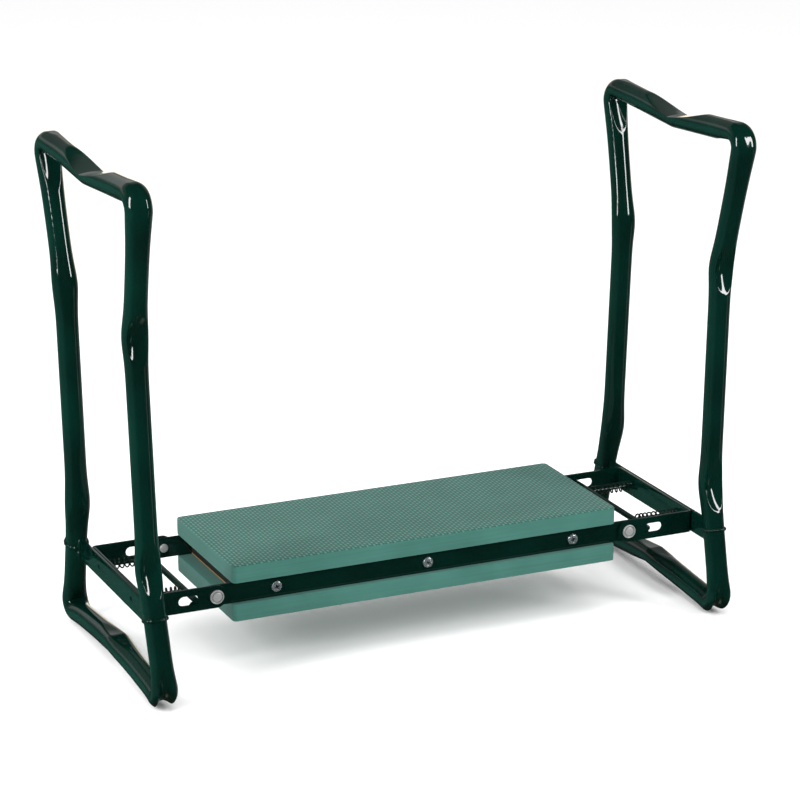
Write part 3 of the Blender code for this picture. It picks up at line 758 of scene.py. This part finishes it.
# %% Floor, light and camera
def floor():
    """A square of matte pale paper, 12 m wide; it belongs to no body of the object."""
    mesh = bpy.data.meshes.new("studio_floor")
    size = 6.0
    corners = [(-size, -size, 0), (size, -size, 0), (size, size, 0), (-size, size, 0)]
    mesh.from_pydata(corners, [], [(0, 1, 2, 3)])
    obj = bpy.data.objects.new("studio_floor", mesh)
    bpy.context.scene.collection.objects.link(obj)
    mat, tree, shader = new_material("pale_paper", Roughness=0.9)
    shader.inputs["Base Color"].default_value = grey(0.97)
    shader.inputs["Specular IOR Level"].default_value = 0.1
    mesh.materials.append(mat)
    obj.visible_glossy = False


def softbox(name, place, target, width, height, power, mirrored_in_gloss=True):
    """An area light of width by height metres at place, turned to face target, power in watts."""
    light = bpy.data.lights.new(name, "AREA")
    light.shape, light.size, light.size_y = "RECTANGLE", width, height
    light.energy = power
    obj = bpy.data.objects.new(name, light)
    obj.location = place
    obj.rotation_euler = (Vector(target) - Vector(place)).to_track_quat("-Z", "Y").to_euler()
    obj.visible_glossy = mirrored_in_gloss
    bpy.context.scene.collection.objects.link(obj)


floor()
softbox("key", (-2.6, -0.6, 1.3), (0, 0, 0.25), 1.6, 1.4, 14, False)
softbox("overhead", (0.1, 0.2, 2.3), (0, 0, 0.2), 1.8, 1.4, 16, False)
softbox("left strip", (-1.45, -0.39, 1.02), (0, 0, 0.98), 0.30, 1.04, 19)
softbox("right strip", (1.06, -1.06, 1.02), (0, 0, 0.98), 0.26, 1.04, 17)

# %% [markdown]
# ## The room that the gloss mirrors
# Dark gloss paint looks like whatever stands around it, so the room matters more than the paint. The
# world is split by ray: the camera sees plain white, matte surfaces get light that is stronger from the
# left, and gloss mirrors a dark room of its own. That room has dim panels behind, a narrow bright one
# low at the right, a green-tinted one at the left, a warm line near the horizon behind at the right, and
# brown and cream below, for the ground. No real room does this; a studio gets near it with flags and
# cards. The panels are placed by direction only, so they stay put when the camera moves.

# %% The room that the gloss mirrors
world = bpy.data.worlds.new("room")
bpy.context.scene.world = world
world.use_nodes = True
tree = world.node_tree
path = add(tree, "LightPath").outputs
way = add(tree, "SeparateXYZ", Vector=add(tree, "TexCoord").outputs["Generated"]).outputs


def maths(operation, *values):
    """A Math node on one, two or three values."""
    inputs = {f"in{i}": value for i, value in enumerate(values)}
    return add(tree, "Math", {"operation": operation}, **inputs).outputs[0]


def within(value, low, high, soft):
    """1 between low and high, easing to 0 over twice soft at either side."""
    rise = add(tree, "MapRange", Value=value, From_Min=low - soft, From_Max=low + soft)
    fall = add(tree, "MapRange", Value=value, From_Min=high + soft, From_Max=high - soft)
    return maths("MULTIPLY", rise.outputs["Result"], fall.outputs["Result"])


heading = maths("ARCTAN2", way["X"], maths("MULTIPLY", way["Y"], -1.0))
heading = maths("MULTIPLY", heading, 180 / math.pi)
turned_away = maths("ABSOLUTE", heading)
level = 0.02
# heading in degrees from the front (left is negative), height of the direction, brightness
for value, first, last, blur, bottom, top, dim, bright in (
        (turned_away, 112, 190, 8, 0.06, 0.62, 0.04, 0.17),
        (turned_away, 130, 190, 8, 0.16, 0.32, 0.03, 0.34),
        (heading, 63, 67, 1, -0.45, -0.16, 0.06, 1.4),
        (heading, 96, 170, 6, -0.50, 0.02, 0.06, 0.25)):
    panel = maths("MULTIPLY", within(value, first, last, blur), within(way["Z"], bottom, top, dim))
    level = maths("MULTIPLY_ADD", panel, bright, level)
left = maths("MULTIPLY", within(heading, -165, -58, 14), within(way["Z"], -0.58, 0.0, 0.10))
sheen = add(tree, "MixRGB", Fac=left, Color1=level, Color2=linear("#548F80")).outputs[0]
# brighter than white, so a factor and not a hex colour
horizon = maths("MULTIPLY", within(heading, 122, 176, 6), within(way["Z"], -0.20, 0.02, 0.05))
sheen = add(tree, "MixRGB", Fac=horizon, Color1=sheen, Color2=(1.7, 1.55, 1.2, 1.0)).outputs[0]
brown = within(way["Z"], -0.95, -0.64, 0.05)
sheen = add(tree, "MixRGB", Fac=brown, Color1=sheen, Color2=linear("#33241C")).outputs[0]
low = add(tree, "MapRange", Value=way["Z"], From_Min=-0.97, From_Max=-0.99).outputs["Result"]
flags = add(tree, "MixRGB", Fac=low, Color1=sheen, Color2=linear("#C4BEA4")).outputs[0]
sideways = add(tree, "MapRange", Value=way["X"], From_Min=-1.0, To_Min=1.5, To_Max=0.45).outputs["Result"]
plain = add(tree, "MixRGB", Fac=path["Is Glossy Ray"], Color1=sideways, Color2=flags).outputs[0]
shade = add(tree, "MixRGB", Fac=path["Is Camera Ray"], Color1=plain, Color2=grey(1.0)).outputs[0]
tree.links.new(shade, tree.nodes["Background"].inputs["Color"])
bpy.context.scene.view_settings.view_transform = "Standard"
print("nodes in the room:", len(tree.nodes))

# %% [markdown]
# ## Camera
# It stands 24 degrees left of the front, 17 degrees up and nearly 3 m away, with a long lens, so the two
# loops keep nearly the same size. Its three axes are written out as a matrix, which leaves no doubt about
# roll.

# %% Camera
azimuth, elevation = math.radians(-24.34), math.radians(17.34)
level_part = math.cos(elevation)
back = Vector((math.sin(azimuth) * level_part, -math.cos(azimuth) * level_part, math.sin(elevation)))
right = Vector((math.cos(azimuth), math.sin(azimuth), 0))
camera = bpy.data.objects.new("camera", bpy.data.cameras.new("camera"))
camera.data.sensor_width, camera.data.lens, camera.data.clip_end = 36.0, 132.96, 100.0
axes = Matrix((right, back.cross(right), back)).transposed().to_4x4()
axes.translation = Vector((-1.1105, -2.4624, 1.0655))
camera.matrix_world = axes
bpy.context.scene.collection.objects.link(camera)
bpy.context.scene.camera = camera
print("camera at:", [round(v, 3) for v in axes.translation], "lens:", round(camera.data.lens, 1))
